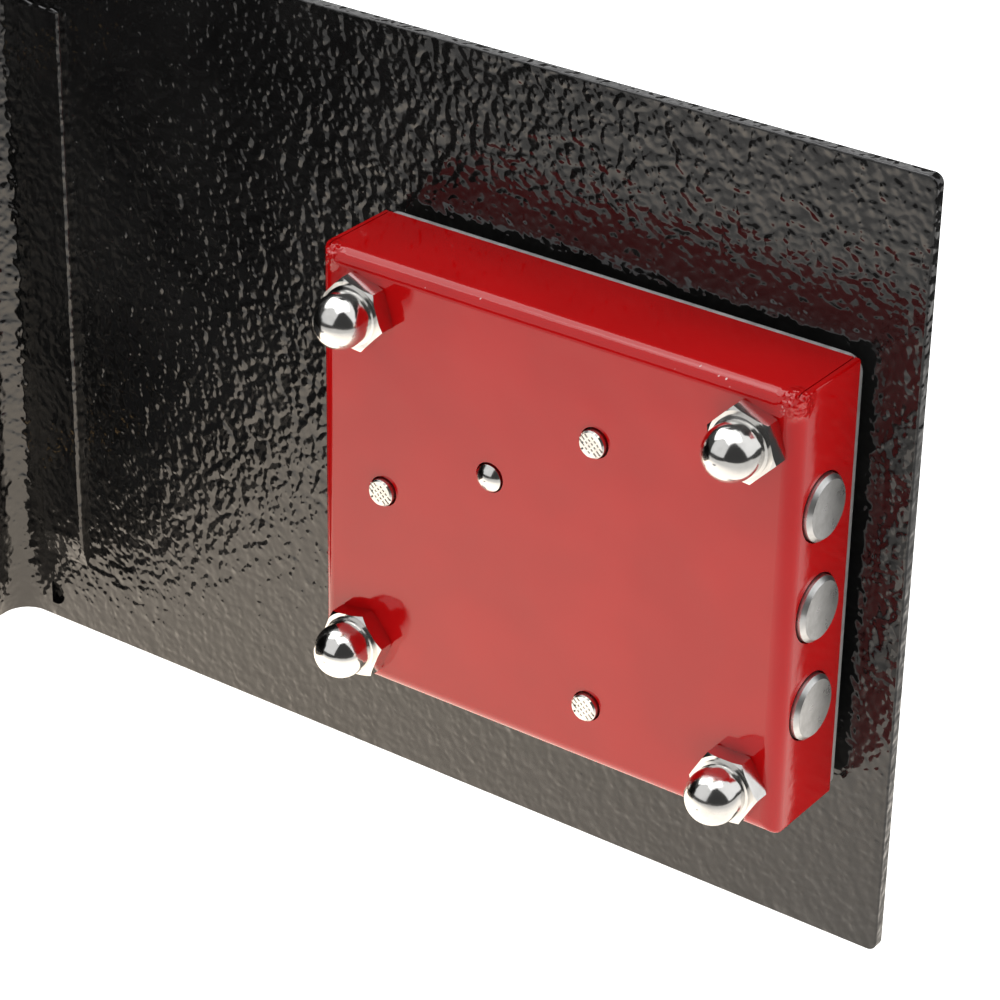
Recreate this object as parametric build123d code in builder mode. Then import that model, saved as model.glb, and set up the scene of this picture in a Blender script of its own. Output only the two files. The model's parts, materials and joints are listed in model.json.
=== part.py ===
"""Compact key-operated gun safe: a folded steel body, a wrap-round door on weld-on hinges and a three-bolt lever
lock. The door stands open and the bolts are drawn back. Millimetres, +Z up, origin at the middle of the base, the
safe's front towards -Y. Pieces on the door are placed by planes that turn with the door."""

from build123d import *
from math import cos, radians, sin
import os

os.makedirs("parts", exist_ok=True)

# Sheet metal
SHEET = 2.0  # body and door
GAP = 1.0  # between the door's edges and the body walls
BEND_R = 4.5  # inside radius of the door's fold
EDGE_R = 0.3  # the coated sheet's rim

# Door
DOOR_W = 171.0  # inside of the fold to the free edge
DOOR_H = 125.4
FLANGE = 10.0  # the fold's reach behind the door's inner face
FLANGE_GAP = 0.6  # between the flange and the body's hinge-side wall
CORNER_R = 1.5
DOOR_OPEN = 108.0  # degrees, as stored

# Body
BODY_W = SHEET + GAP + DOOR_W - FLANGE_GAP
BODY_H = DOOR_H + 2 * GAP + 2 * SHEET
BODY_D = 240.0
BODY_R = 3.0
ANCHOR_R = 4.5
BASE_ANCHOR_PITCH = 120.0
WALL_ANCHOR_PITCH = 100.0
MAT_T = 4.0

# Door stops and bolt keeper, welded behind the closed door
STOP_BEHIND = 0.6  # clearance behind the closed door
STOP_LEG = 11.0
STOP_T = 1.5
STOP_FOOT = 8.0
KEEPER_W = 7.2
KEEPER_T = 4.7

# Weld-on lift-off hinges
HINGE_R = 4.0
HINGE_PIN_R = 2.0
HINGE_HALF = 15.0
WASHER_T = 1.0
HINGE_BASES = {"lower": 14.0, "upper": 86.0}
WELD = 1.6
WELD_REACH = 2.4  # how far a weld seam runs into the barrel's outline

# Reinforcing strip and pressed sockets beside the fold
STRIP_X = (6.6, 15.4)
STRIP_Z = (12.6, 112.3)
STRIP_T = 1.3
STRIP_RUNOUT = 5.0  # the lower end thins out over this length
SOCKET_X = 7.5
SOCKET_Z = 4.6
SOCKET_R = 2.15
SOCKET_FLAT = 0.7  # the flat's distance from the centre
SOCKET_DEPTH = 1.4

# Lock case
CASE_W = 82.0
CASE_H = 70.5
CASE_DEPTH = 16.5  # from the back of the zinc plate to the case's front
CASE_SHEET = 1.0
CASE_R = 2.4
CASE_X = DOOR_W - 8.1 - CASE_W
CASE_Z = 26.9
PLATE_T = 0.8  # zinc plate that closes the case's back
STANDOFF = 2.0  # gap between the door and the zinc plate, kept by spacers on the studs
SPACER_R = 5.0
SEAM = (0.2, 0.4)  # width and depth of the seams at the folded corners

# Case fixings, x and z from the case's lower hinge-side corner, and each nut's turn in degrees
STUDS = {
    "upper_hinge_side": (8.1, 62.5, 47.0),
    "upper_bolt_side": (74.8, 62.5, 46.0),
    "lower_hinge_side": (7.9, 7.1, 9.0),
    "lower_bolt_side": (74.9, 7.4, 0.0),
}
STUD_R = 3.0
STUD_PROUD = 6.0  # how far a stud stands out of the case
NUT_ACROSS = 10.0
NUT_HEX = 3.0
NUT_COLLAR_R = 4.55
NUT_DOME_R = 4.2
NUT_TALL = 9.5

# Lock posts, from the same corner
LEVER_PIVOT = (11.9, 33.6)
GUIDE_POSTS = {"upper": (49.2, 53.6), "lower": (49.3, 10.2)}
POST_R = 2.15
POST_PROUD = 1.0
KEY_AT = (31.2, 42.2)
KEY_POST_R = 1.25

# Bolts and the parts that throw them
BOLT_HEIGHTS = {"lower": 18.7, "middle": 34.8, "upper": 50.9}
BOLT_R = 5.0
BOLT_DEPTH = 8.7  # axis in front of the zinc plate's back
BOLT_PROUD = 1.1
BOLT_TAIL = 60.0
BOLT_HOLE_R = 5.3
THROW = 7.4
CARRIAGE_DEPTH = 8.8
CARRIAGE_T = 3.0
CARRIAGE_RIGHT = 66.0
BOLT_RIVET_R = 1.25
RUN = 0.08  # radial running clearance
SLOT_PLAY = 0.1

# Levers
LEVERS = 4
LEVER_T = 1.0
LEVER_PITCH = 1.2
LEVER_START = 3.9  # depth of the first lever
KEY_WINDOW_R = 9.4
STUMP = (47.5, 35.3)
STUMP_R = 1.5

# Throw cam and key
CAM_R = 9.5
CAM_HUB_R = 8.4
CAM_T = 2.5
CRANK = THROW / 2
CRANK_PIN_R = 1.0
SHANK_R = 2.5
BIT_R = 7.5
BIT_T = 2.2
KEY_END = 8.5  # depth of the key's tip
KEYHOLE_PLAY = 0.3
ESCUTCHEON_R = 19.0
ESCUTCHEON_T = 2.0
KEY_LENGTH = 52.0
OUTSIDE = -STANDOFF - SHEET  # the door's outer face, as a depth in the case

# The hinge axis and the door's own frame: origin at the inside of the fold and the door's lower edge, x towards the
# free edge, y out of the safe, z up.
HINGE_X = BODY_W / 2 + HINGE_R
HINGE_Y = -BODY_D / 2 + SHEET + FLANGE + HINGE_R
FRONT_Y = -BODY_D / 2
DOOR_Z = SHEET + GAP


def turned(x, y, degrees):
    """The point (x, y) turned about the Z axis."""
    a = radians(degrees)
    return x * cos(a) - y * sin(a), x * sin(a) + y * cos(a)


fold_x, fold_y = turned(FLANGE_GAP - HINGE_R, -FLANGE - HINGE_R, DOOR_OPEN)
door = Plane(
    origin=(HINGE_X + fold_x, HINGE_Y + fold_y, DOOR_Z),
    x_dir=turned(-1, 0, DOOR_OPEN),
    z_dir=(0, 0, 1),
)
along_door = Axis((0, 0, 0), door.x_dir)
into_safe = Axis((0, 0, 0), -door.y_dir)


def facing(depth, x=0, z=0):
    """A plane parallel to the door, depth behind its inner face. Extrusions run deeper into the safe."""
    origin = door.from_local_coords((x, -depth, z))
    return Plane(origin=origin, x_dir=door.x_dir, z_dir=-door.y_dir)


def in_case(depth):
    """The same, measured from the zinc plate's lower hinge-side corner."""
    return facing(depth + STANDOFF, CASE_X, CASE_Z)


def lathe(x, z, depth):
    """A plane for turned pieces square to the door: x is the radius and y the depth."""
    origin = door.from_local_coords((CASE_X + x, -depth - STANDOFF, CASE_Z + z))
    return Plane(origin=origin, x_dir=door.x_dir, z_dir=-door.z_dir)


def across(x):
    """A plane square to the door's width at x: its x points out of the safe and its y up."""
    origin = door.from_local_coords((x, 0, 0))
    return Plane(origin=origin, x_dir=door.y_dir, z_dir=door.x_dir)


def across_case(x):
    """The same, measured from the zinc plate's lower hinge-side corner."""
    origin = door.from_local_coords((CASE_X + x, -STANDOFF, CASE_Z))
    return Plane(origin=origin, x_dir=door.y_dir, z_dir=door.x_dir)


def save(piece, name):
    piece.part.label = name
    export_step(piece.part, f"parts/{name}.step")


def on_sheet_edge(edge):
    """Whether an edge of the door is a sharp one on the sheet's rim, and not a line where a flat meets a round."""
    at = door.to_local_coords(edge.center())
    direction = edge.tangent_at(0.5)
    on_fold = abs(direction.Z) > 0.9 and at.X < DOOR_W - 1 and at.Y > -FLANGE + 1
    through_sheet = abs(direction.dot(door.y_dir)) > 0.9 and at.X > DOOR_W / 2
    return not (on_fold or through_sheet)


def cap_radius(half_width, rise):
    """The radius of a shallow dome of the given half width and rise."""
    return (half_width**2 + rise**2) / (2 * rise)


def keyhole(play):
    """The outline that the key's shank and bits pass through, drawn at the key's axis."""
    with Locations(KEY_AT):
        Circle(SHANK_R + play)
        Rectangle(BIT_T + 2 * play, 2 * (BIT_R + play))


# ---------------------------------------------------------------- body

with BuildPart() as body_shell:
    with BuildSketch(Plane.XZ.offset(BODY_D / 2)):
        with Locations((0, BODY_H / 2)):
            RectangleRounded(BODY_W, BODY_H, BODY_R)
            RectangleRounded(BODY_W - 2 * SHEET, BODY_H - 2 * SHEET, BODY_R - SHEET, mode=Mode.SUBTRACT)
    extrude(amount=-BODY_D)
    # The hinge-side wall stops short behind the door's fold.
    with BuildSketch(Plane.XZ.offset(BODY_D / 2)):
        with Locations((BODY_W / 2, BODY_H / 2)):
            Rectangle(2 * BODY_R + 0.4, BODY_H)
    extrude(amount=-(SHEET + BEND_R + 0.6), mode=Mode.SUBTRACT)
    with BuildSketch(Plane.XY):
        with GridLocations(0, BASE_ANCHOR_PITCH, 1, 2):
            Circle(ANCHOR_R)
    extrude(amount=SHEET, mode=Mode.SUBTRACT)
save(body_shell, "body_shell")

with BuildPart() as back_panel:
    with BuildSketch(Plane.XZ.offset(-BODY_D / 2)):
        with Locations((0, BODY_H / 2)):
            RectangleRounded(BODY_W - 2 * SHEET, BODY_H - 2 * SHEET, BODY_R - SHEET)
            with GridLocations(WALL_ANCHOR_PITCH, 0, 2, 1):
                Circle(ANCHOR_R, mode=Mode.SUBTRACT)
    extrude(amount=SHEET)
save(back_panel, "back_panel")

LATCH_WALL = -BODY_W / 2 + SHEET
STOP_START = LATCH_WALL + KEEPER_W + 0.2
STOP_END = BODY_W / 2 - SHEET - 1.2
STOP_Y = FRONT_Y + SHEET + STOP_BEHIND


def door_stop(name, wall_z, up):
    """An angle welded to the top or bottom wall, its leg standing behind the closed door."""
    with BuildPart() as stop:
        with BuildSketch(Plane.YZ.offset(STOP_START)):
            with BuildLine():
                Polyline(
                    (STOP_Y, wall_z),
                    (STOP_Y + STOP_FOOT, wall_z),
                    (STOP_Y + STOP_FOOT, wall_z + up * STOP_T),
                    (STOP_Y + STOP_T, wall_z + up * STOP_T),
                    (STOP_Y + STOP_T, wall_z + up * STOP_LEG),
                    (STOP_Y, wall_z + up * STOP_LEG),
                    close=True,
                )
            make_face()
        extrude(amount=STOP_END - STOP_START)
    save(stop, name)


door_stop("door_stop_bottom", SHEET, 1)
door_stop("door_stop_top", BODY_H - SHEET, -1)

with BuildPart() as bolt_keeper:
    with BuildSketch(Plane.XY.offset(SHEET + 1.5)):
        with Locations((LATCH_WALL, STOP_Y)):
            Rectangle(KEEPER_W, KEEPER_T, align=(Align.MIN, Align.MIN))
    extrude(amount=BODY_H - 2 * SHEET - 3.0)
    fillet(bolt_keeper.edges().filter_by(Axis.Z).group_by(Axis.X)[-1], 0.8)
save(bolt_keeper, "bolt_keeper")

MAT_FRONT = STOP_Y + STOP_FOOT + 1.0
MAT_BACK = BODY_D / 2 - SHEET - 0.5
with BuildPart() as floor_mat:
    with BuildSketch(Plane.XY.offset(SHEET)):
        with Locations((0, (MAT_FRONT + MAT_BACK) / 2)):
            RectangleRounded(BODY_W - 2 * SHEET - 3.0, MAT_BACK - MAT_FRONT, 5.0)
        with GridLocations(0, BASE_ANCHOR_PITCH, 1, 2):
            Circle(11.0, mode=Mode.SUBTRACT)
    extrude(amount=MAT_T)
    fillet(floor_mat.faces().sort_by(Axis.Z)[-1].edges(), 0.8)
save(floor_mat, "floor_mat")

# ---------------------------------------------------------------- hinges

hinge = Plane(origin=(HINGE_X, HINGE_Y, 0))

for place, base in HINGE_BASES.items():
    with BuildPart() as body_knuckle:
        with BuildSketch(hinge.offset(base)):
            Circle(HINGE_R)
            with Locations((-HINGE_R, 0)):
                Rectangle(2 * WELD, 4.4, align=(Align.MIN, Align.CENTER))
            Circle(HINGE_PIN_R, mode=Mode.SUBTRACT)
        extrude(amount=HINGE_HALF)
        chamfer(body_knuckle.faces().sort_by(Axis.Z)[0].edges().filter_by(GeomType.CIRCLE), 0.4)
    save(body_knuckle, f"body_knuckle_{place}")

    with BuildPart() as hinge_pin:
        with BuildSketch(hinge.offset(base + 0.5)):
            Circle(HINGE_PIN_R)
        extrude(amount=2 * HINGE_HALF - 3.0)
        chamfer(hinge_pin.faces().sort_by(Axis.Z)[-1].edges(), 0.6)
    save(hinge_pin, f"hinge_pin_{place}")

    with BuildPart() as hinge_washer:
        with BuildSketch(hinge.offset(base + HINGE_HALF)):
            Circle(HINGE_R)
            Circle(HINGE_PIN_R + 0.1, mode=Mode.SUBTRACT)
        extrude(amount=WASHER_T)
    save(hinge_washer, f"hinge_washer_{place}")

    # The door's half is welded to the end of the flange and turns with it.
    with BuildPart() as door_knuckle:
        half_z = base + HINGE_HALF + WASHER_T + 0.05
        leaf = Plane(origin=(HINGE_X, HINGE_Y, half_z), x_dir=door.x_dir, z_dir=(0, 0, 1))
        with BuildSketch(leaf):
            Circle(HINGE_R)
            with Locations((HINGE_R - FLANGE_GAP - SHEET / 2, HINGE_R)):
                Rectangle(WELD, WELD_REACH, align=(Align.CENTER, Align.MAX))
        extrude(amount=HINGE_HALF)
        with BuildSketch(leaf):
            Circle(HINGE_PIN_R + 0.05)
        extrude(amount=HINGE_HALF - 1.5, mode=Mode.SUBTRACT)
    save(door_knuckle, f"door_knuckle_{place}")

# ---------------------------------------------------------------- door

with BuildPart() as door_plate:
    with BuildSketch(door) as door_profile:
        with BuildLine():
            Polyline(
                (DOOR_W, 0),
                (DOOR_W, SHEET),
                (-SHEET, SHEET),
                (-SHEET, -FLANGE),
                (0, -FLANGE),
                (0, 0),
                close=True,
            )
        make_face()
        fillet(door_profile.vertices().sort_by_distance((-SHEET, SHEET, 0))[0], BEND_R + SHEET)
        fillet(door_profile.vertices().sort_by_distance((0, 0, 0))[0], BEND_R)
    extrude(amount=DOOR_H)
    free_corners = door_plate.edges().filter_by(into_safe).group_by(along_door)[-1]
    fillet(free_corners, CORNER_R)
    fillet(door_plate.edges().filter_by(on_sheet_edge), EDGE_R)
    with BuildSketch(in_case(OUTSIDE)):
        keyhole(KEYHOLE_PLAY)
    extrude(amount=SHEET, mode=Mode.SUBTRACT)
    with BuildSketch(facing(0)):
        for height in (SOCKET_Z, DOOR_H - SOCKET_Z):
            with Locations((SOCKET_X, height)):
                Circle(SOCKET_R)
            with Locations((SOCKET_X - SOCKET_FLAT, height)):
                Rectangle(SOCKET_R, 2 * SOCKET_R, align=(Align.MAX, Align.CENTER), mode=Mode.SUBTRACT)
    extrude(amount=-SOCKET_DEPTH, mode=Mode.SUBTRACT)
save(door_plate, "door_plate")

with BuildPart() as door_strip:
    with BuildSketch(facing(0)):
        with Locations((STRIP_X[0], STRIP_Z[0])):
            Rectangle(STRIP_X[1] - STRIP_X[0], STRIP_Z[1] - STRIP_Z[0], align=(Align.MIN, Align.MIN))
    extrude(amount=STRIP_T)
    with BuildSketch(across(STRIP_X[0])):
        with BuildLine():
            Polyline(
                (-STRIP_T, STRIP_Z[0]),
                (-0.1, STRIP_Z[0]),
                (-STRIP_T, STRIP_Z[0] + STRIP_RUNOUT),
                close=True,
            )
        make_face()
    extrude(amount=STRIP_X[1] - STRIP_X[0], mode=Mode.SUBTRACT)
    strip_face = door_strip.faces().filter_by(into_safe).sort_by(into_safe)[-1]
    fillet(strip_face.edges().filter_by(Axis.Z), 0.6)
save(door_strip, "door_strip")

with BuildPart() as escutcheon:
    with BuildSketch(in_case(OUTSIDE)):
        with Locations(KEY_AT):
            Circle(ESCUTCHEON_R)
    extrude(amount=-ESCUTCHEON_T)
    chamfer(escutcheon.faces().sort_by(into_safe)[0].edges(), 1.0)
    with BuildSketch(in_case(OUTSIDE)):
        keyhole(KEYHOLE_PLAY)
        with Locations(KEY_AT):
            with GridLocations(26.0, 0, 2, 1):
                Circle(1.6)
    extrude(amount=-ESCUTCHEON_T, mode=Mode.SUBTRACT)
save(escutcheon, "escutcheon")

with BuildPart() as escutcheon_rivets:
    head = SHEET + ESCUTCHEON_T
    for side in (-13.0, 13.0):
        axis_plane = lathe(KEY_AT[0] + side, KEY_AT[1], -STANDOFF)
        with BuildSketch(axis_plane):
            with BuildLine():
                Polyline((0, -SHEET), (1.6, -SHEET), (1.6, -head), (2.8, -head))
                RadiusArc((2.8, -head), (0, -head - 1.4), cap_radius(2.8, 1.4))
                Line((0, -head - 1.4), (0, -SHEET))
            make_face()
        revolve(axis=Axis(axis_plane.origin, axis_plane.y_dir))
save(escutcheon_rivets, "escutcheon_rivets")

# ---------------------------------------------------------------- lock case

with BuildPart() as lock_back_plate:
    with BuildSketch(in_case(0)):
        with Locations((CASE_W / 2, CASE_H / 2)):
            RectangleRounded(CASE_W, CASE_H, 2.5)
        with Locations(KEY_AT):
            Circle(CAM_HUB_R + RUN, mode=Mode.SUBTRACT)
        with Locations(*[(x, z) for x, z, _ in STUDS.values()]):
            Circle(STUD_R + 0.2, mode=Mode.SUBTRACT)
    extrude(amount=PLATE_T)
save(lock_back_plate, "lock_back_plate")

with BuildPart() as case_hollow:
    with BuildSketch(in_case(PLATE_T)):
        with Locations((CASE_W / 2, CASE_H / 2)):
            Rectangle(CASE_W - 2 * CASE_SHEET, CASE_H - 2 * CASE_SHEET)
    extrude(amount=CASE_DEPTH - CASE_SHEET - PLATE_T)
    fillet(case_hollow.faces().sort_by(into_safe)[-1].edges(), CASE_R - CASE_SHEET)

with BuildPart() as lock_case:
    with BuildSketch(in_case(PLATE_T)):
        with Locations((CASE_W / 2, CASE_H / 2)):
            Rectangle(CASE_W, CASE_H)
    extrude(amount=CASE_DEPTH - PLATE_T)
    fillet(lock_case.edges().filter_by(into_safe), 0.4)
    fillet(lock_case.faces().sort_by(into_safe)[-1].edges(), CASE_R)
    add(case_hollow.part, mode=Mode.SUBTRACT)
    # Seams where the four folded sides meet.
    with BuildSketch(in_case(PLATE_T)):
        with Locations((CASE_W / 2, CASE_H / 2)):
            with GridLocations(CASE_W - 2 * CASE_SHEET, CASE_H - SEAM[1], 2, 2):
                Rectangle(SEAM[0], SEAM[1])
    extrude(amount=CASE_DEPTH - PLATE_T, mode=Mode.SUBTRACT)
    with BuildSketch(in_case(CASE_DEPTH)):
        with Locations(*[(x, z) for x, z, _ in STUDS.values()]):
            Circle(STUD_R + 0.3)
        with Locations(LEVER_PIVOT, *GUIDE_POSTS.values(), KEY_AT):
            Circle(POST_R + 0.25)
    extrude(amount=-CASE_SHEET, mode=Mode.SUBTRACT)
    with BuildSketch(across_case(CASE_W)):
        for height in BOLT_HEIGHTS.values():
            with Locations((-BOLT_DEPTH, height)):
                Circle(BOLT_HOLE_R)
    extrude(amount=-CASE_R, mode=Mode.SUBTRACT)
save(lock_case, "lock_case")

with BuildPart() as lock_studs:
    with BuildSketch(in_case(-STANDOFF)):
        with Locations(*[(x, z) for x, z, _ in STUDS.values()]):
            Circle(STUD_R)
    extrude(amount=STANDOFF + CASE_DEPTH + STUD_PROUD)
save(lock_studs, "lock_studs")

with BuildPart() as stud_spacers:
    with BuildSketch(in_case(-STANDOFF)):
        with Locations(*[(x, z) for x, z, _ in STUDS.values()]):
            Circle(SPACER_R)
            Circle(STUD_R, mode=Mode.SUBTRACT)
    extrude(amount=STANDOFF)
save(stud_spacers, "stud_spacers")

for place, (x, z, turn) in STUDS.items():
    with BuildPart() as cap_nut:
        with BuildSketch(in_case(CASE_DEPTH)):
            with Locations((x, z)):
                RegularPolygon(NUT_ACROSS / 2, 6, major_radius=False, rotation=turn)
        extrude(amount=NUT_HEX)
        nut_plane = lathe(x, z, CASE_DEPTH)
        # Both faces of the hexagon are chamfered by turning.
        with BuildSketch(nut_plane):
            with BuildLine():
                Polyline((0, 0), (5.2, 0), (6.0, 0.46), (6.0, NUT_HEX - 0.46), (5.2, NUT_HEX), (0, NUT_HEX), (0, 0))
            make_face()
        revolve(axis=Axis(nut_plane.origin, nut_plane.y_dir), mode=Mode.INTERSECT)
        with BuildSketch(nut_plane):
            with BuildLine():
                dome_z = NUT_TALL - NUT_DOME_R
                Polyline(
                    (0, NUT_HEX - 0.5),
                    (NUT_COLLAR_R, NUT_HEX - 0.5),
                    (NUT_COLLAR_R, NUT_HEX + 0.3),
                    (NUT_DOME_R - 0.15, NUT_HEX + 0.45),
                    (NUT_DOME_R, NUT_HEX + 0.7),
                    (NUT_DOME_R, dome_z),
                )
                RadiusArc((NUT_DOME_R, dome_z), (0, NUT_TALL), -NUT_DOME_R)
                Line((0, NUT_TALL), (0, NUT_HEX - 0.5))
            make_face()
        revolve(axis=Axis(nut_plane.origin, nut_plane.y_dir))
        with BuildSketch(in_case(CASE_DEPTH)):
            with Locations((x, z)):
                Circle(STUD_R)
        extrude(amount=STUD_PROUD + 0.5, mode=Mode.SUBTRACT)
    save(cap_nut, f"cap_nut_{place}")


def lock_post(name, centre):
    """A post riveted through the case's front, its end upset with a checkered tool."""
    head = CASE_DEPTH + POST_PROUD
    with BuildPart() as post:
        with BuildSketch(in_case(PLATE_T)):
            with Locations(centre):
                Circle(POST_R)
        extrude(amount=head - PLATE_T)
        chamfer(post.faces().sort_by(into_safe)[-1].edges(), 0.25)
        with BuildSketch(in_case(head)):
            with Locations(centre):
                with GridLocations(0.95, 0, 4, 1):
                    Rectangle(0.28, 2 * POST_R, rotation=45)
                with GridLocations(0, 0.95, 1, 4):
                    Rectangle(2 * POST_R, 0.28, rotation=45)
        extrude(amount=-0.22, mode=Mode.SUBTRACT)
    save(post, name)


lock_post("lever_pivot_post", LEVER_PIVOT)
for place, centre in GUIDE_POSTS.items():
    lock_post(f"guide_post_{place}", centre)

with BuildPart() as key_post:
    post_plane = lathe(*KEY_AT, 0)
    with BuildSketch(post_plane):
        with BuildLine():
            Polyline(
                (0, 3.0),
                (KEY_POST_R, 3.0),
                (KEY_POST_R, CASE_DEPTH - 1.4),
                (POST_R, CASE_DEPTH - 1.4),
                (POST_R, CASE_DEPTH + 0.3),
            )
            RadiusArc((POST_R, CASE_DEPTH + 0.3), (0, CASE_DEPTH + 1.3), -cap_radius(POST_R, 1.0))
            Line((0, CASE_DEPTH + 1.3), (0, 3.0))
        make_face()
    revolve(axis=Axis(post_plane.origin, post_plane.y_dir))
save(key_post, "key_post")

# ---------------------------------------------------------------- bolts and carriage

TIP = CASE_W + BOLT_PROUD

for place, height in BOLT_HEIGHTS.items():
    with BuildPart() as bolt:
        with BuildSketch(across_case(BOLT_TAIL)):
            with Locations((-BOLT_DEPTH, height)):
                Circle(BOLT_R)
        extrude(amount=TIP - BOLT_TAIL)
        chamfer(bolt.faces().sort_by(along_door)[-1].edges(), 0.6)
        # The tail is slotted for the carriage.
        with BuildSketch(across_case(BOLT_TAIL)):
            with Locations((-CARRIAGE_DEPTH, height)):
                Rectangle(CARRIAGE_T, 2 * BOLT_R, align=(Align.MAX, Align.CENTER))
        extrude(amount=CARRIAGE_RIGHT - BOLT_TAIL, mode=Mode.SUBTRACT)
        with BuildSketch(in_case(0)):
            with Locations(((BOLT_TAIL + CARRIAGE_RIGHT) / 2, height)):
                Circle(BOLT_RIVET_R)
        extrude(amount=CASE_DEPTH, mode=Mode.SUBTRACT)
    save(bolt, f"bolt_{place}")

with BuildPart() as bolt_rivets:
    with BuildSketch(in_case(BOLT_DEPTH - BOLT_R + 0.4)):
        for height in BOLT_HEIGHTS.values():
            with Locations(((BOLT_TAIL + CARRIAGE_RIGHT) / 2, height)):
                Circle(BOLT_RIVET_R)
    extrude(amount=2 * BOLT_R - 0.8)
save(bolt_rivets, "bolt_rivets")

YOKE_HALF = CRANK_PIN_R + 0.95
with BuildPart() as bolt_carriage:
    with BuildSketch(in_case(CARRIAGE_DEPTH)):
        with BuildLine():
            Polyline(
                (18.5, 34.3),
                (38.5, 34.3),
                (38.5, 6.0),
                (57.0, 6.0),
                (57.0, 13.8),
                (CARRIAGE_RIGHT, 13.8),
                (CARRIAGE_RIGHT, 58.2),
                (38.5, 58.2),
                (38.5, 50.3),
                (18.5, 50.3),
                close=True,
            )
        make_face()
        # Slots that ride on the guide posts.
        for x, z in GUIDE_POSTS.values():
            with Locations((x - THROW / 2, z)):
                SlotCenterToCenter(THROW, 2 * (POST_R + SLOT_PLAY), mode=Mode.SUBTRACT)
        # The yoke: an upright slot for the crank pin, and one along the throw for the key post.
        with Locations((KEY_AT[0] - CRANK, KEY_AT[1])):
            Rectangle(2 * YOKE_HALF, 2 * (CRANK + CRANK_PIN_R + 0.3), mode=Mode.SUBTRACT)
        with Locations((KEY_AT[0] - THROW / 2, KEY_AT[1])):
            SlotCenterToCenter(THROW, 2 * (KEY_POST_R + 0.3), mode=Mode.SUBTRACT)
        for height in BOLT_HEIGHTS.values():
            with Locations(((BOLT_TAIL + CARRIAGE_RIGHT) / 2, height)):
                Circle(BOLT_RIVET_R, mode=Mode.SUBTRACT)
    extrude(amount=CARRIAGE_T)
save(bolt_carriage, "bolt_carriage")

with BuildPart() as lever_stump:
    with BuildSketch(in_case(LEVER_START - 0.1)):
        with Locations(STUMP):
            Circle(STUMP_R)
    extrude(amount=CARRIAGE_DEPTH - LEVER_START + 0.1)
save(lever_stump, "lever_stump")

# ---------------------------------------------------------------- levers

POCKET = 2.2  # half the width of a lever's pocket round the stump

for number in range(1, LEVERS + 1):
    depth = LEVER_START + (number - 1) * LEVER_PITCH
    with BuildPart() as lever:
        with BuildSketch(in_case(depth)):
            with Locations(LEVER_PIVOT):
                Circle(6.0)
            with Locations(KEY_AT):
                Circle(KEY_WINDOW_R + 2.6)
            with BuildLine():
                Polyline((9.5, 28.1), (59.4, 28.1), (59.4, 44.3), (31.5, 49.3), (11.5, 39.6), close=True)
            make_face()
            with Locations(LEVER_PIVOT):
                Circle(POST_R + RUN, mode=Mode.SUBTRACT)
            with Locations(KEY_AT):
                Circle(KEY_WINDOW_R, mode=Mode.SUBTRACT)
            # Two pockets joined by the gate that the stump passes through.
            for reach in (0, THROW):
                with Locations((STUMP[0] + reach, STUMP[1] - 1.0)):
                    RectangleRounded(2 * POCKET, 2 * (STUMP_R + 2.4), 0.6, mode=Mode.SUBTRACT)
            with Locations((STUMP[0] + THROW / 2, STUMP[1])):
                Rectangle(THROW, 2 * (STUMP_R + 0.3), mode=Mode.SUBTRACT)
        extrude(amount=LEVER_T)
    save(lever, f"lever_{number}")

    # A leaf spring let into the lever's tail leans towards the case's top wall.
    with BuildPart() as lever_spring:
        with BuildSketch(in_case(depth + 0.2)):
            with BuildLine():
                lean = 1.2 * (number - (LEVERS + 1) / 2)
                Spline((10.1, 39.4), (8.1 + lean / 2, 48.6), (10.0 + lean, 57.6))
            trace(line_width=0.4)
        extrude(amount=LEVER_T - 0.4)
    save(lever_spring, f"lever_spring_{number}")

# ---------------------------------------------------------------- throw cam and key

with BuildPart() as throw_cam:
    with BuildSketch(in_case(0.1)):
        with Locations(KEY_AT):
            Circle(CAM_HUB_R)
    extrude(amount=1.0)
    with BuildSketch(in_case(1.0)):
        with Locations(KEY_AT):
            Circle(CAM_R)
    extrude(amount=CAM_T)
    with BuildSketch(in_case(0.1)):
        keyhole(SLOT_PLAY)
        with Locations((KEY_AT[0] - CRANK, KEY_AT[1])):
            Circle(CRANK_PIN_R)
    extrude(amount=CAM_T + 1.0, mode=Mode.SUBTRACT)
save(throw_cam, "throw_cam")

with BuildPart() as crank_pin:
    with BuildSketch(in_case(0.1)):
        with Locations((KEY_AT[0] - CRANK, KEY_AT[1])):
            Circle(CRANK_PIN_R)
    extrude(amount=CARRIAGE_DEPTH + CARRIAGE_T - 0.2)
save(crank_pin, "crank_pin")

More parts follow.
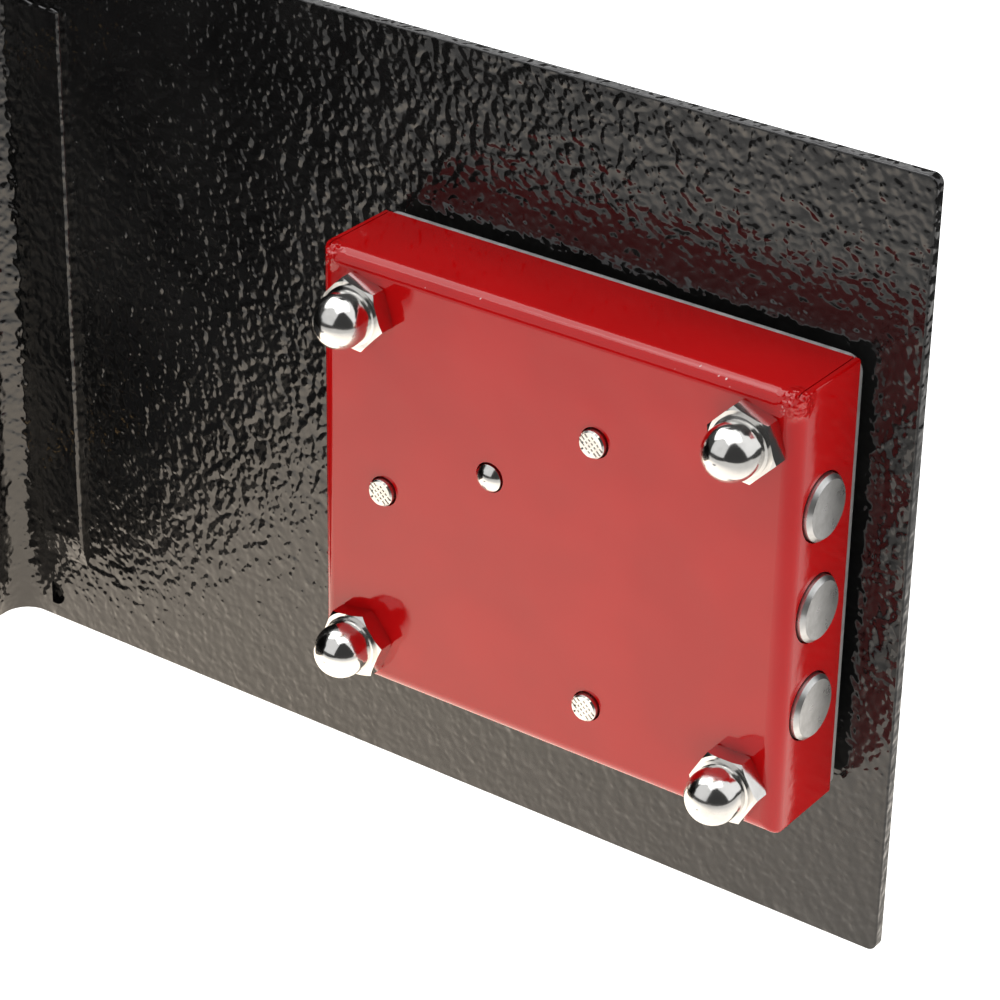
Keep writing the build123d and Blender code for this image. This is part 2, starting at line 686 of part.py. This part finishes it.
BITTING = (0.0, 1.2, 0.5, 1.6)  # how far each lever's step is cut below the full bit
with BuildPart() as key:
    with BuildSketch(in_case(KEY_END)):
        with Locations(KEY_AT):
            Circle(SHANK_R)
    extrude(amount=-KEY_LENGTH + 14.0)
    with BuildSketch(in_case(KEY_END)):
        with Locations(KEY_AT):
            Rectangle(BIT_T, 2 * BIT_R)
    extrude(amount=-(KEY_END - 0.4))
    for number, cut in enumerate(BITTING):
        with BuildSketch(in_case(LEVER_START + number * LEVER_PITCH - 0.1)):
            for side in (-1, 1):
                with Locations((KEY_AT[0], KEY_AT[1] + side * BIT_R)):
                    Rectangle(BIT_T, 2 * cut + 0.02)
        extrude(amount=LEVER_PITCH, mode=Mode.SUBTRACT)
    # The bow, a flat oval with a hole for a ring.
    bow_plane = Plane(
        origin=door.from_local_coords((CASE_X + KEY_AT[0], KEY_LENGTH - KEY_END - STANDOFF - 12.0, CASE_Z + KEY_AT[1])),
        x_dir=door.y_dir,
        z_dir=door.x_dir,
    )
    with BuildSketch(bow_plane.offset(-1.4)):
        Ellipse(12.0, 14.0)
        with Locations((4.0, 0)):
            SlotCenterToCenter(9.0, 6.0, rotation=90, mode=Mode.SUBTRACT)
    extrude(amount=2.8)
    with BuildSketch(in_case(KEY_END)):
        with Locations(KEY_AT):
            Circle(KEY_POST_R + RUN)
    extrude(amount=-7.0, mode=Mode.SUBTRACT)
save(key, "key")
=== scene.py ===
"""The gun safe's looks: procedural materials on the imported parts, a felt mat, the weld at the strip's end,
and a white studio. Metres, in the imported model's frame. Things on the door are placed along its own three
directions, in millimetres where on_door() is called.
"""

import json
from math import cos, pi, radians, sin

import bmesh
import bpy
from mathutils import Matrix, Vector, noise


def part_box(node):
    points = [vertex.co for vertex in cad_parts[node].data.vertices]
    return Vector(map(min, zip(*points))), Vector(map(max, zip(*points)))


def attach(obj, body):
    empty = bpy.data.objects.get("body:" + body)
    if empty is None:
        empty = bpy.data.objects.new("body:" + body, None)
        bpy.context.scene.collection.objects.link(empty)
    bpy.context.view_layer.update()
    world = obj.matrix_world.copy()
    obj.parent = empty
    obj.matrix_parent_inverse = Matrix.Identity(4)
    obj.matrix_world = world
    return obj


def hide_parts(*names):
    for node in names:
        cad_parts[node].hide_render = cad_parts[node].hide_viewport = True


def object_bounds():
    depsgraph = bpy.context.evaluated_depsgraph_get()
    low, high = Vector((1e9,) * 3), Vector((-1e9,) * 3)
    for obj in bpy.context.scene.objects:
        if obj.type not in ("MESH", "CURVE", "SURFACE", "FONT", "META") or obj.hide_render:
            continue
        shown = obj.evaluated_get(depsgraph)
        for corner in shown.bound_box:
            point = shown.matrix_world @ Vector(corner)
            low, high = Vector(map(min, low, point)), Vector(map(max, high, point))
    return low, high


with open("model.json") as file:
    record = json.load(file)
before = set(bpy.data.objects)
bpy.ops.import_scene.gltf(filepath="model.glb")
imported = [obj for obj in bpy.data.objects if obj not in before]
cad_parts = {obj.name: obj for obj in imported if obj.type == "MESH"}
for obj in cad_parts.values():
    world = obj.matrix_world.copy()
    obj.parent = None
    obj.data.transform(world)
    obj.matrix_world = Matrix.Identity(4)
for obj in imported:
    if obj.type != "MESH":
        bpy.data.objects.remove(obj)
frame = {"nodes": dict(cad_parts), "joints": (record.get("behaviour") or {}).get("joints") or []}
cad_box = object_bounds()
nodes = frame["nodes"]
joints = {joint["name"]: joint for joint in frame["joints"]}
scene = bpy.context.scene

# The door's directions: along it to the free edge, into the safe, and up.
ALONG = Vector(joints["bolt_throw"]["axis"]).normalized()
INTO = Vector(joints["key_turn"]["axis"]).normalized()
UP = Vector((0, 0, 1))
KEY = Vector(joints["key_turn"]["pos_m"])  # on the door's inner face
DOOR_AXES = Matrix((ALONG, -INTO, UP))  # along the door, out of the safe, up


def on_door(along, into, up):
    """A point given in millimetres from the key's axis on the door's inner face."""
    return KEY + (along * ALONG + into * INTO + up * UP) / 1000


def door_span(node):
    """The lowest and highest corner of a node, measured along the door's directions from the key's point."""
    points = [DOOR_AXES @ (vertex.co - KEY) for vertex in nodes[node].data.vertices]
    low = Vector([min(p[i] for p in points) for i in range(3)])
    high = Vector([max(p[i] for p in points) for i in range(3)])
    return low, high


# ---------------------------------------------------------------- materials


class Net:
    """One material's node tree. Each method adds a node and returns the socket that comes out of it."""

    def __init__(self, name, **surface):
        self.material = bpy.data.materials.new(name)
        self.material.use_nodes = True
        self.tree = self.material.node_tree
        self.shader = self.tree.nodes["Principled BSDF"]
        for socket, value in surface.items():
            self.shader.inputs[socket.replace("_", " ")].default_value = value

    def put(self, socket, value):
        """Links a socket, or sets a plain value."""
        if isinstance(value, bpy.types.NodeSocket):
            self.tree.links.new(value, socket)
        else:
            socket.default_value = value

    def node(self, kind, out, sets, **inputs):
        made = self.tree.nodes.new("ShaderNode" + kind)
        for key, value in sets.items():
            setattr(made, key, value)
        for key, value in inputs.items():
            self.put(made.inputs[int(key[1:]) if key[0] == "i" and key[1:].isdigit() else key], value)
        return made.outputs[out]

    def place(self, turn=(0, 0, 0), scale=(1, 1, 1), origin=None):
        """Object coordinates in metres, from an origin, then turned and stretched."""
        at = self.node("TexCoord", "Object", {})
        if origin is not None:
            at = self.node("VectorMath", 0, {"operation": "SUBTRACT"}, i0=at, i1=origin)
        return self.node("Mapping", 0, {"vector_type": "POINT"}, Vector=at, Rotation=turn, Scale=scale)

    def along_door(self, scale=(1, 1, 1)):
        """Coordinates from the key's point, along the door's own directions."""
        return self.place(DOOR_AXES.to_euler(), scale, KEY)

    def noise(self, at, scale, detail=2.0, rough=0.5):
        return self.node("TexNoise", 0, {}, Vector=at, Scale=scale, Detail=detail, Roughness=rough)

    def cells(self, at, scale, smooth=None):
        sets = {"feature": "F1" if smooth is None else "SMOOTH_F1"}
        extra = {} if smooth is None else {"Smoothness": smooth}
        return self.node("TexVoronoi", 0, sets, Vector=at, Scale=scale, **extra)

    def sum(self, a, b, how="ADD"):
        return self.node("Math", 0, {"operation": how}, i0=a, i1=b)

    def shift(self, at, scale, amount):
        """Coordinates pushed about by noise of the given scale."""
        push = self.node("TexNoise", 1, {}, Vector=at, Scale=scale, Detail=1.0)
        centred = self.node("VectorMath", 0, {"operation": "SUBTRACT"}, i0=push, i1=(0.5, 0.5, 0.5))
        scaled = self.node("VectorMath", 0, {"operation": "SCALE"}, i0=centred, Scale=amount)
        return self.node("VectorMath", 0, {"operation": "ADD"}, i0=at, i1=scaled)

    def ramp(self, value, low, high, to=(0.0, 1.0)):
        """Turns low..high into to, smoothly and clamped."""
        made = self.tree.nodes.new("ShaderNodeMapRange")
        made.interpolation_type = "SMOOTHSTEP"
        self.put(made.inputs["Value"], value)
        for socket, number in zip(("From Min", "From Max", "To Min", "To Max"), (low, high, *to)):
            made.inputs[socket].default_value = number
        return made.outputs[0]

    def blend(self, share, a, b):
        """The colour a, or b where share is 1."""
        made = self.tree.nodes.new("ShaderNodeMix")
        made.data_type = "RGBA"
        self.put(made.inputs[0], share)
        for socket, colour in ((made.inputs[6], a), (made.inputs[7], b)):
            self.put(socket, (*colour, 1.0) if isinstance(colour, tuple) else colour)
        return made.outputs[2]

    def axis(self, vector, name):
        return self.node("SeparateXYZ", name, {}, Vector=vector)

    def length_across(self, at):
        """The distance from the local X axis."""
        flat = self.node("VectorMath", 0, {"operation": "MULTIPLY"}, i0=at, i1=(0, 1, 1))
        return self.node("VectorMath", 1, {"operation": "LENGTH"}, i0=flat)

    def near(self, value, centre, inner, outer):
        """1 close to the centre, fading to 0 between the inner and the outer distance from it."""
        off = self.sum(self.sum(value, centre, "SUBTRACT"), 0, "ABSOLUTE")
        return self.ramp(off, inner, outer, (1, 0))

    def bump(self, height, distance, strength=1.0, under=None):
        extra = {} if under is None else {"Normal": under}
        return self.node("Bump", 0, {}, Height=height, Distance=distance, Strength=strength, **extra)

    def out(self, **links):
        for socket, value in links.items():
            self.put(self.shader.inputs[socket.replace("_", " ")], value)
        return self.material


def dress(material, *names):
    for name in names:
        mesh = nodes[name].data
        mesh.materials.clear()
        mesh.materials.append(material)


def hammertone():
    """Black powder coat that has flowed into soft bumps one to two millimetres across, glossy all over."""
    net = Net("hammertone", Metallic=0.0, IOR=1.6)
    at = net.shift(net.place(), 300.0, 0.0012)
    beads = net.sum(1.0, net.cells(at, 820.0, smooth=0.7), "SUBTRACT")
    islands = net.noise(at, 460.0, detail=0.0)
    broad = net.noise(net.place(), 60.0, detail=2.0)
    fine = net.noise(net.place(), 2600.0, detail=2.0)
    colour = net.blend(net.ramp(broad, 0.3, 0.7), (0.0048, 0.0047, 0.0047), (0.0085, 0.0083, 0.0081))
    rough = net.sum(net.ramp(broad, 0.3, 0.7, (0.09, 0.12)), net.ramp(fine, 0.35, 0.75, (0.0, 0.03)))
    relief = net.bump(islands, 0.00025, under=net.bump(beads, 0.00019, under=net.bump(fine, 0.000003)))
    return net.out(Base_Color=colour, Roughness=rough, Normal=relief)


def red_paint():
    """Glossy red coat with a slight orange peel, chipped along the case's upper front bend, where the pale
    chip colour is also a painted highlight, and gathered in lumps at its upper front corners, where the
    folded sides meet.
    """
    low, high = door_span("lock_case")
    bend_middle = 0.0009  # how far the middle of the bend is from the case's top and from its front
    corner_middle = 0.0008
    net = Net("red_paint", IOR=1.55, Specular_IOR_Level=0.5)
    at = net.place()
    peel = net.noise(at, 330.0, detail=2.0, rough=0.45)
    long_waves = net.noise(at, 70.0, detail=1.0)
    dust = net.noise(at, 1500.0, detail=2.0)
    colour = net.blend(net.ramp(long_waves, 0.3, 0.7), (0.415, 0.0012, 0.0018), (0.455, 0.0016, 0.0024))
    door = net.along_door()
    depth, height = net.axis(door, "Y"), net.axis(door, "Z")
    on_bend = net.sum(
        net.near(height, high.z - bend_middle, 0.0003, 0.0012),
        net.near(depth, low.y + bend_middle, 0.0003, 0.0012),
        "MULTIPLY",
    )
    # Pale specks along the upper front bend: chipped paint, and also a painted highlight along the bend.
    specks = net.ramp(net.cells(net.along_door((0.35, 1, 1)), 620.0), 0.07, 0.12, (1, 0))
    some = net.ramp(net.noise(net.along_door(), 160.0, detail=2.0), 0.57, 0.62)
    chips_and_painted_glints = net.sum(net.sum(on_bend, specks, "MULTIPLY"), some, "MULTIPLY")
    to_corners = []
    for side in (low.x + corner_middle, high.x - corner_middle):
        corner = (side, low.y + corner_middle, high.z - corner_middle)
        to_corners.append(net.node("VectorMath", 1, {"operation": "DISTANCE"}, i0=door, i1=corner))
    gathered = net.ramp(net.sum(*to_corners, "MINIMUM"), 0.0010, 0.0036, (1, 0))
    lumps = net.sum(net.noise(at, 1000.0, detail=1.0), gathered, "MULTIPLY")
    relief = net.bump(lumps, 0.0009, under=net.bump(peel, 0.000030, under=net.bump(long_waves, 0.00016)))
    relief = net.bump(chips_and_painted_glints, 0.00005, strength=0.6, under=net.bump(dust, 0.0000012, under=relief))
    return net.out(
        Base_Color=net.blend(chips_and_painted_glints, colour, (0.78, 0.62, 0.60)),
        Roughness=net.sum(net.ramp(dust, 0.3, 0.8, (0.075, 0.13)), net.sum(chips_and_painted_glints, 0.3, "MULTIPLY")),
        Normal=relief,
    )


def plated(name, base, worn, rough, peel):
    """Polished plate over stamped or turned metal, with faint haze and handling scratches."""
    net = Net(name, Metallic=1.0)
    at = net.place()
    haze = net.noise(at, 240.0, detail=4.0, rough=0.6)
    waves = net.noise(at, 420.0, detail=1.0)
    scratches = net.noise(net.place((0.3, 0.5, 0.9), (1, 14, 1)), 900.0, detail=3.0)
    return net.out(
        Base_Color=net.blend(net.ramp(haze, 0.35, 0.75), base, worn),
        Roughness=net.ramp(haze, 0.3, 0.8, rough),
        Normal=net.bump(scratches, 0.0000015, under=net.bump(waves, peel)),
    )


def brushed(name, base, worn, rough, grain, depth, turn=(0, 0, 0)):
    """Rolled or ground metal with a grain, stretched along one direction."""
    net = Net(name, Metallic=1.0)
    lines = net.noise(net.place(turn, (1, grain, grain)), 260.0, detail=4.0, rough=0.7)
    cloud = net.noise(net.place(), 90.0, detail=3.0)
    spots = net.ramp(net.noise(net.place(), 700.0, detail=2.0), 0.66, 0.78)
    shade = net.sum(net.ramp(cloud, 0.3, 0.7, (0.0, 0.6)), net.sum(spots, 0.4, "MULTIPLY"))
    return net.out(
        Base_Color=net.blend(shade, base, worn),
        Roughness=net.sum(net.ramp(lines, 0.3, 0.7, rough), net.sum(spots, 0.1, "MULTIPLY")),
        Normal=net.bump(lines, depth),
    )


def turned_end(name, centre, axis):
    """Steel faced in a lathe: rings round the axis on the end, and a fine feed along the side."""
    net = Net(name, Metallic=1.0)
    turn = axis.rotation_difference(Vector((1, 0, 0))).to_euler()
    at = net.place(turn, (1, 1, 1), centre)
    radius = net.length_across(at)
    wobble = net.noise(at, 300.0, detail=2.0)
    feed = net.sum(radius, net.sum(wobble, 0.0006, "MULTIPLY"))
    side = net.sum(net.axis(at, "X"), 0.6, "MULTIPLY")
    rings = net.noise(net.node("CombineXYZ", 0, {}, X=feed, Y=side), 3400.0)
    cloud = net.noise(at, 420.0, detail=3.0, rough=0.6)
    return net.out(
        Base_Color=net.blend(net.ramp(cloud, 0.3, 0.75), (0.74, 0.74, 0.74), (0.58, 0.58, 0.57)),
        Roughness=net.ramp(cloud, 0.3, 0.7, (0.27, 0.38)),
        Normal=net.bump(rings, 0.00002, under=net.bump(cloud, 0.000012)),
    )


def felt():
    net = Net("felt", Specular_IOR_Level=0.2, Sheen_Weight=0.35, Sheen_Roughness=0.6)
    at = net.place()
    fibres = net.noise(net.shift(at, 700.0, 0.003), 1600.0, detail=4.0, rough=0.7)
    tufts = net.noise(at, 260.0, detail=3.0)
    colour = net.blend(net.ramp(fibres, 0.3, 0.7), (0.016, 0.016, 0.018), (0.062, 0.062, 0.066))
    relief = net.bump(fibres, 0.00018, under=net.bump(tufts, 0.0003))
    return net.out(Base_Color=colour, Roughness=net.ramp(tufts, 0.3, 0.7, (0.85, 1.0)), Normal=relief)


coat = hammertone()
dress(
    coat,
    *"body_shell back_panel door_stop_bottom door_stop_top bolt_keeper door_plate door_strip".split(),
    *"body_knuckle_lower body_knuckle_upper door_knuckle_lower door_knuckle_upper".split(),
)
dress(red_paint(), "lock_case")

# Each finish: its clean colour, its worn colour, its least and most roughness, then its relief in metres. A
# brushed finish also has how much longer its grain is than wide.
nickel = plated("nickel", (0.80, 0.79, 0.77), (0.68, 0.67, 0.65), (0.11, 0.20), 0.00003)
dress(nickel, *"escutcheon escutcheon_rivets key key_post".split())
dress(nickel, *[name for name in nodes if name.startswith("cap_nut")])

satin = plated("satin_nickel", (0.84, 0.83, 0.81), (0.66, 0.65, 0.63), (0.20, 0.32), 0.00002)
dress(satin, *"lever_pivot_post guide_post_upper guide_post_lower".split())

door_turn = DOOR_AXES.to_euler()
zinc = brushed("zinc", (0.90, 0.90, 0.90), (0.74, 0.75, 0.77), (0.50, 0.62), 3, 0.000008, door_turn)
dress(zinc, "lock_back_plate")

steel = brushed("steel", (0.52, 0.52, 0.51), (0.36, 0.35, 0.34), (0.22, 0.38), 8, 0.00001, door_turn)
dress(steel, *"lock_studs stud_spacers bolt_carriage bolt_rivets lever_stump crank_pin".split())
dress(steel, "hinge_pin_lower", "hinge_pin_upper")

brass = brushed("brass", (0.74, 0.52, 0.24), (0.52, 0.34, 0.14), (0.2, 0.36), 6, 0.000012, door_turn)
dress(brass, "throw_cam", "hinge_washer_lower", "hinge_washer_upper")
blued = brushed("spring_steel", (0.26, 0.27, 0.31), (0.16, 0.15, 0.2), (0.18, 0.3), 10, 0.000006)
for lever in range(1, 5):
    dress(brass, f"lever_{lever}")
    dress(blued, f"lever_spring_{lever}")

for name in ("bolt_lower", "bolt_middle", "bolt_upper"):
    low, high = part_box(name)
    dress(turned_end(f"turned_{name}", (low + high) / 2, ALONG), name)

# ---------------------------------------------------------------- pieces


def new_piece(name, mesh, body, material):
    mesh.materials.append(material)
    piece = bpy.data.objects.new(name, mesh)
    scene.collection.objects.link(piece)
    for face in mesh.polygons:
        face.use_smooth = True
    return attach(piece, body)


def felt_mat():
    """The mat in the safe: felt-faced foam, a little crowned and uneven, with room for two bolt heads."""
    low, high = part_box("floor_mat")
    size = high - low
    middle = (low + high) / 2
    inset = 0.0006  # the felt's edge from the foam's
    step = 0.0035  # between the grid's points
    half = Vector((size.x / 2 - inset, size.y / 2 - inset, 0))
    columns, rows = round(2 * half.x / step), round(2 * half.y / step)
    corner_r = 0.005
    holes = [Vector((0, y, 0)) for y in (-0.06, 0.06)]
    hole_r = 0.0112
    edge_r = 0.0012  # the upper edge is rounded over this width
    rim = 0.86  # the rim's height as a share of the mat's
    slack, crown, wave = 0.0004, 0.0002, 0.00022

    def edge_distance(x, y):
        """How far a point is inside the mat's outline, corners and holes included."""
        qx, qy = abs(x) - half.x + corner_r, abs(y) - half.y + corner_r
        outside = Vector((max(qx, 0), max(qy, 0))).length + min(max(qx, qy), 0) - corner_r
        to_hole = min((Vector((x, y + middle.y, 0)) - hole).length - hole_r for hole in holes)
        return min(-outside, to_hole)

    def drawn_in(x, y):
        """A point just outside the outline is drawn back onto it."""
        for _ in range(3):
            gap = edge_distance(x, y)
            if gap >= 0.0:
                break
            slope_x = edge_distance(x + 1e-5, y) - edge_distance(x - 1e-5, y)
            slope_y = edge_distance(x, y + 1e-5) - edge_distance(x, y - 1e-5)
            slope = Vector((slope_x, slope_y))
            if slope.length > 0:
                slope.normalize()
                x, y = x - slope.x * gap, y - slope.y * gap
        return x, y

    def top_height(x, y):
        rise = min(max(edge_distance(x, y), 0.0) / edge_r, 1.0)
        rounded = size.z * (rim + (1 - rim) * (1 - (1 - rise) ** 2) ** 0.5)
        uneven = wave * noise.noise(Vector((x * 55, y * 55, 1.0)))
        return min(rounded - slack + uneven + crown * (1 - (x / half.x) ** 2) * rise, size.z)

    made = bmesh.new()
    grid = {}
    for i in range(columns + 1):
        for j in range(rows + 1):
            x, y = -half.x + 2 * half.x * i / columns, -half.y + 2 * half.y * j / rows
            if edge_distance(x, y) < -step:
                continue
            x, y = drawn_in(x, y)
            spot = Vector((middle.x + x, middle.y + y, low.z))
            upper = made.verts.new(spot + Vector((0, 0, top_height(x, y))))
            grid[i, j] = (upper, made.verts.new(spot + Vector((0, 0, 0.0001))))
    for (i, j), here in list(grid.items()):
        corners = [grid.get(key) for key in ((i, j), (i + 1, j), (i + 1, j + 1), (i, j + 1))]
        if None in corners:
            continue
        made.faces.new([corner[0] for corner in corners])
        made.faces.new([corner[1] for corner in reversed(corners)])
    made.verts.ensure_lookup_table()
    pairs = {top: bottom for top, bottom in grid.values()}
    for edge in [edge for edge in made.edges if edge.is_boundary and edge.verts[0] in pairs]:
        loop = edge.link_loops[0]
        a, b = loop.vert, loop.link_loop_next.vert
        made.faces.new((b, a, pairs[a], pairs[b]))
    bmesh.ops.delete(made, geom=[v for v in made.verts if not v.link_faces], context="VERTS")
    mesh = bpy.data.meshes.new("felt_mat")
    made.to_mesh(mesh)
    made.free()
    piece = new_piece("felt_mat", mesh, "body", felt())
    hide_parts("floor_mat")
    return piece


felt_mat()


def strip_weld():
    """The lumpy run of weld under the paint, across the stiffening strip's upper end."""
    low, high = door_span("door_strip")
    rings, sides = 60, 12
    radius, unevenness, wander = 0.00052, 0.00022, 0.0005
    sunk = 0.75 / 1.3  # how deep the run's axis lies, as a share of the strip's thickness
    made = bmesh.new()
    loops = []
    for i in range(rings + 1):
        share = i / rings
        taper = max(1 - abs(2 * share - 1) ** 6, 0.0) ** 0.5
        lump = unevenness * noise.noise(Vector((share * 7, 0.3, 2.0)))
        bead_r = 0.00002 + taper * (radius + lump)
        along = low.x + share * (high.x - low.x)
        up = high.z - 0.0002 + wander * noise.noise(Vector((share * 4, 5.0, 0.0)))
        out = low.y + sunk * (high.y - low.y)
        ring = []
        for j in range(sides):
            turn = 2 * pi * j / sides
            spot = Vector((along, out + 0.8 * bead_r * cos(turn), up + bead_r * sin(turn)))
            ring.append(made.verts.new(KEY + DOOR_AXES.transposed() @ spot))
        loops.append(ring)
    for here, there in zip(loops, loops[1:]):
        for j in range(sides):
            k = (j + 1) % sides
            made.faces.new((here[j], there[j], there[k], here[k]))
    made.faces.new(loops[0])
    made.faces.new(reversed(loops[-1]))
    bmesh.ops.recalc_face_normals(made, faces=made.faces)
    mesh = bpy.data.meshes.new("strip_weld")
    made.to_mesh(mesh)
    made.free()
    return new_piece("strip_weld", mesh, "door", coat)


strip_weld()

# ---------------------------------------------------------------- studio


def lamp(name, at, towards, size, watts):
    data = bpy.data.lights.new(name, "AREA")
    data.shape, data.size, data.size_y = "RECTANGLE", size[0], size[1]
    data.energy = watts
    light = bpy.data.objects.new(name, data)
    light.location = at
    light.rotation_mode = "QUATERNION"
    light.rotation_quaternion = (Vector(towards) - Vector(at)).to_track_quat("-Z", "Y")
    scene.collection.objects.link(light)


def glow(name, strength, white=0.0):
    """A surface of the given whiteness that also glows white."""
    material = bpy.data.materials.new(name)
    material.use_nodes = True
    shader = material.node_tree.nodes["Principled BSDF"]
    shader.inputs["Base Color"].default_value = (white, white, white, 1)
    shader.inputs["Roughness"].default_value = 1.0
    shader.inputs["Specular IOR Level"].default_value = 0.0
    shader.inputs["Emission Color"].default_value = (1, 1, 1, 1)
    shader.inputs["Emission Strength"].default_value = strength
    return material


def studio_piece(name, made, material):
    """Turns a bmesh into a piece of the studio."""
    mesh = bpy.data.meshes.new(name)
    made.to_mesh(mesh)
    made.free()
    mesh.materials.append(material)
    piece = bpy.data.objects.new(name, mesh)
    scene.collection.objects.link(piece)
    return piece


def card(name, centre, half_side, material):
    """A flat square sheet, lying level."""
    made = bmesh.new()
    ways = [Vector((x, y, 0)) for x, y in ((-1, -1), (1, -1), (1, 1), (-1, 1))]
    made.faces.new([made.verts.new(Vector(centre) + half_side * way) for way in ways])
    return studio_piece(name, made, material)


lowest = cad_box[0].z
floor = card("floor", (0, 0, lowest - 0.0002), 4.0, glow("floor_white", 0.9, white=0.8))
floor.visible_glossy = False


def painted_light_pool():
    """A glowing sheet standing in for warm white paper under the lamps: a painted pool of light, brightest
    beside the door's hinge and fading away from it.
    """
    net = Net("painted_light_pool", Base_Color=(0, 0, 0, 1), Roughness=1.0, Specular_IOR_Level=0.0)
    brightest = on_door(-95, 10, 0)
    brightest.z = lowest
    away = net.node("VectorMath", 1, {"operation": "LENGTH"}, i0=net.place(origin=brightest))
    # The painted pool of light fades in colour and in strength away from the hinge.
    fade = net.ramp(away, 0.03, 0.30)
    return net.out(
        Emission_Color=net.blend(fade, (1.0, 0.875, 0.73), (1.0, 0.98, 0.95)),
        Emission_Strength=net.ramp(away, 0.03, 0.30, (2.3, 0.7)),
    )


# What the glossy coats see below them: a glowing card, seen only in reflections, that paints the light on the
# table.
before = on_door(-60, 150, 0)
table = card("table", (before.x, before.y, lowest - 0.0001), 0.42, painted_light_pool())
table.visible_camera = False
table.visible_diffuse = False
table.visible_shadow = False

world = bpy.data.worlds.new("studio")
world.use_nodes = True
world.cycles_visibility.glossy = False
scene.world = world
background = world.node_tree.nodes["Background"]
background.inputs["Color"].default_value = (1, 1, 1, 1)
background.inputs["Strength"].default_value = 0.16


def shell(name, radius, strength, seen_by):
    """A glowing ball round the whole studio that only one kind of ray sees."""
    made = bmesh.new()
    bmesh.ops.create_uvsphere(made, u_segments=48, v_segments=24, radius=radius)
    ball = studio_piece(name, made, glow(f"{name}_white", strength))
    for rays in ("camera", "diffuse", "glossy", "transmission", "shadow"):
        setattr(ball, f"visible_{rays}", rays == seen_by)


shell("backdrop", 6.0, 1.0, "camera")
shell("dim_room", 5.5, 0.045, "glossy")

# Softboxes: the side each stands on, in degrees from straight into the safe towards the door's free edge, and
# its height in degrees; then its distance, its width and height, and how bright its face is.
SOFTBOXES = {
    "left_box": (-20, 34, 0.80, (0.90, 0.85), 0.75),
    "high_box": (-90, 60, 0.80, (0.62, 0.62), 2.2),
    "right_box": (120, 36, 0.80, (1.00, 1.15), 0.95),
    "top_box": (60, 86, 0.80, (0.80, 0.80), 1.5),
    "back_box": (-145, 34, 1.10, (0.90, 0.60), 1.2),
}
middle = on_door(0, 0, 0)
for name, (side, height, distance, sides, brightness) in SOFTBOXES.items():
    side, height = radians(side), radians(height)
    way = cos(height) * (sin(side) * ALONG + cos(side) * INTO) + sin(height) * UP
    lamp(name, middle + distance * way, middle, sides, brightness * pi * sides[0] * sides[1])

# ---------------------------------------------------------------- camera

# It looks at a point on the door from a side and a height that are measured as the softboxes' are.
AIM = on_door(-11.15, 0, -15.39)
AZIMUTH, ELEVATION, ROLL = radians(35.293), radians(28.548), radians(1.062)
DISTANCE = 0.53488

back = sin(AZIMUTH) * cos(ELEVATION) * ALONG + cos(AZIMUTH) * cos(ELEVATION) * INTO + sin(ELEVATION) * UP
right = cos(AZIMUTH) * ALONG - sin(AZIMUTH) * INTO
above = back.cross(right)
camera_x = cos(ROLL) * right + sin(ROLL) * above
camera_y = -sin(ROLL) * right + cos(ROLL) * above

camera_data = bpy.data.cameras.new("camera")
camera_data.lens = 126.63
camera_data.sensor_width = 36.0
camera_data.clip_start = 0.01
camera = bpy.data.objects.new("camera", camera_data)
scene.collection.objects.link(camera)
turned = Matrix((camera_x, camera_y, back)).transposed().to_4x4()
camera.matrix_world = Matrix.Translation(AIM + DISTANCE * back) @ turned
scene.camera = camera

scene.view_settings.view_transform = "Standard"
